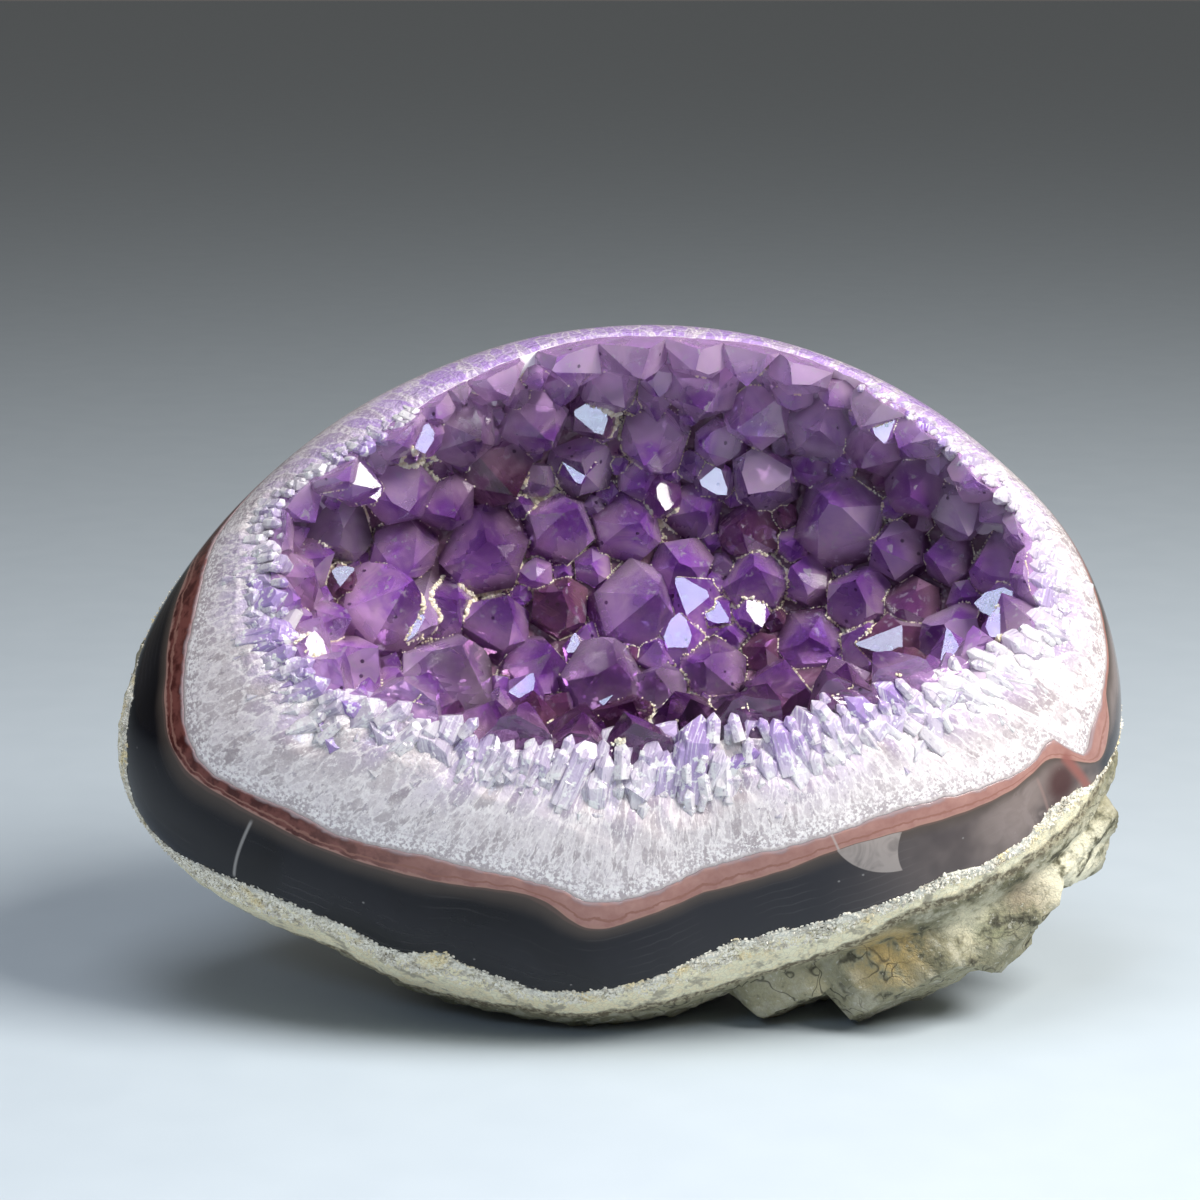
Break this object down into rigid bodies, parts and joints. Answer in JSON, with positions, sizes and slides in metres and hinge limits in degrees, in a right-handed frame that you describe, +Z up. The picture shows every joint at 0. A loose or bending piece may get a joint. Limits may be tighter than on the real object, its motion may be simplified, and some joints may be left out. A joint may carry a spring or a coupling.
{
  "type": "amethyst geode section",
  "caption": "Polished geode section standing on its rough rock, with agate and quartz bands around an open pocket lined with purple amethyst crystals.",
  "frame": {"origin": "centre of the bounding box on the surface that the flat spot rests on", "axes": "+Z up; the polished face looks along -Y and 12 degrees up; +X to the right of someone facing it"},
  "size_m": [0.1993, 0.1042, 0.1359],
  "materials": {
    "basalt": null,
    "agate": "polished, nearly opaque dark blue-black chalcedony with one reddish-brown band next to the quartz",
    "white_quartz": "polished white to pale lilac crystalline quartz, cloudy, with a bright grain",
    "amethyst": "natural crystal faces, clear to smoky purple, deepest at the points"
  },
  "bodies": {
    "root": {"basalt_rind": "basalt", "agate_band": "agate", "quartz_band": "white_quartz", "amethyst_crystals": "amethyst"}
  },
  "joints": []
}
